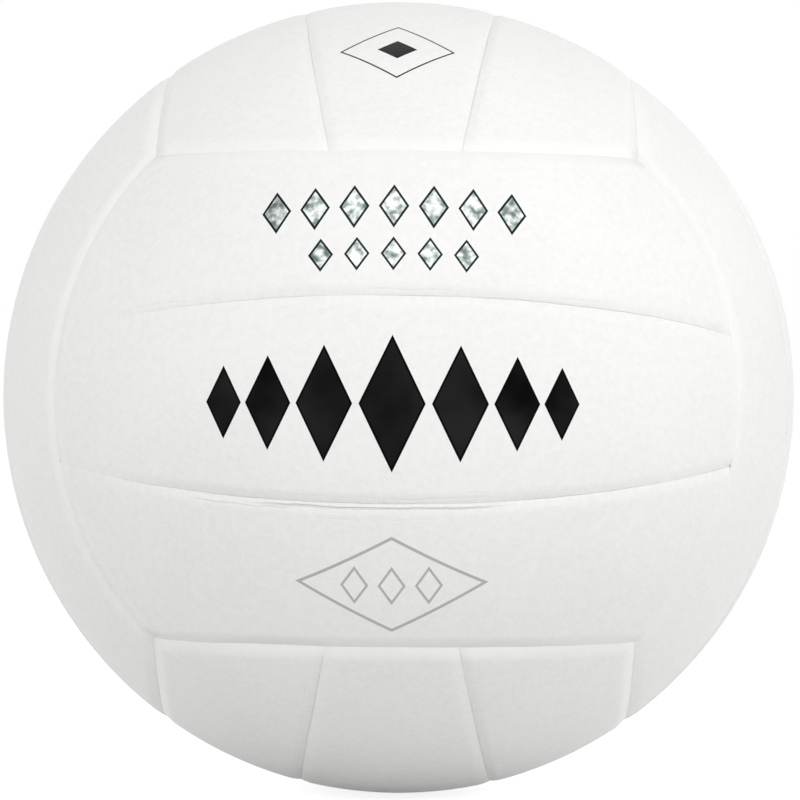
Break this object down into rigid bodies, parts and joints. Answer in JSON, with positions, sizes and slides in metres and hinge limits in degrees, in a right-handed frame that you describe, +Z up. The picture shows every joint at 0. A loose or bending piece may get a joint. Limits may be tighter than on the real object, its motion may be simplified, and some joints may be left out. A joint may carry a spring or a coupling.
{
  "type": "volleyball",
  "caption": "Inflated indoor volleyball: curved leather strips in crossed blocks over backings, rubber carcass, winding and bladder, with a self-closing needle valve.",
  "frame": {"origin": "centre of the ball", "axes": "+Z up, front block of level strips facing -Y, +Y out through the valve, +X to the right seen from the front"},
  "size_m": [0.21, 0.2099, 0.21],
  "materials": {
    "panel_leather": "fine pebbled, satin",
    "cushion_backing": "matt felted cloth",
    "carcass_rubber": "matt",
    "wrap_cloth": "plain woven cotton",
    "winding_thread": "wound thread set in latex",
    "bladder_rubber": "smooth butyl",
    "patch_rubber": "matt",
    "housing_rubber": "satin moulded",
    "core_rubber": "satin moulded"
  },
  "bodies": {
    "root": {"front_lower_panel": "panel_leather", "front_middle_panel": "panel_leather", "front_upper_panel": "panel_leather", "back_lower_panel": "panel_leather", "back_middle_panel": "panel_leather", "back_upper_panel": "panel_leather", "top_left_panel": "panel_leather", "top_middle_panel": "panel_leather", "top_right_panel": "panel_leather", "bottom_left_panel": "panel_leather", "bottom_middle_panel": "panel_leather", "bottom_right_panel": "panel_leather", "right_rear_panel": "panel_leather", "right_middle_panel": "panel_leather", "right_front_panel": "panel_leather", "left_rear_panel": "panel_leather", "left_middle_panel": "panel_leather", "left_front_panel": "panel_leather", "front_lower_backing": "cushion_backing", "front_middle_backing": "cushion_backing", "front_upper_backing": "cushion_backing", "back_lower_backing": "cushion_backing", "back_middle_backing": "cushion_backing", "back_upper_backing": "cushion_backing", "top_left_backing": "cushion_backing", "top_middle_backing": "cushion_backing", "top_right_backing": "cushion_backing", "bottom_left_backing": "cushion_backing", "bottom_middle_backing": "cushion_backing", "bottom_right_backing": "cushion_backing", "right_rear_backing": "cushion_backing", "right_middle_backing": "cushion_backing", "right_front_backing": "cushion_backing", "left_rear_backing": "cushion_backing", "left_middle_backing": "cushion_backing", "left_front_backing": "cushion_backing", "rubber_carcass": "carcass_rubber", "cloth_wrap": "wrap_cloth", "thread_winding": "winding_thread", "bladder": "bladder_rubber", "valve_patch": "patch_rubber", "valve_housing": "housing_rubber", "valve_core": "core_rubber"}
  },
  "joints": []
}
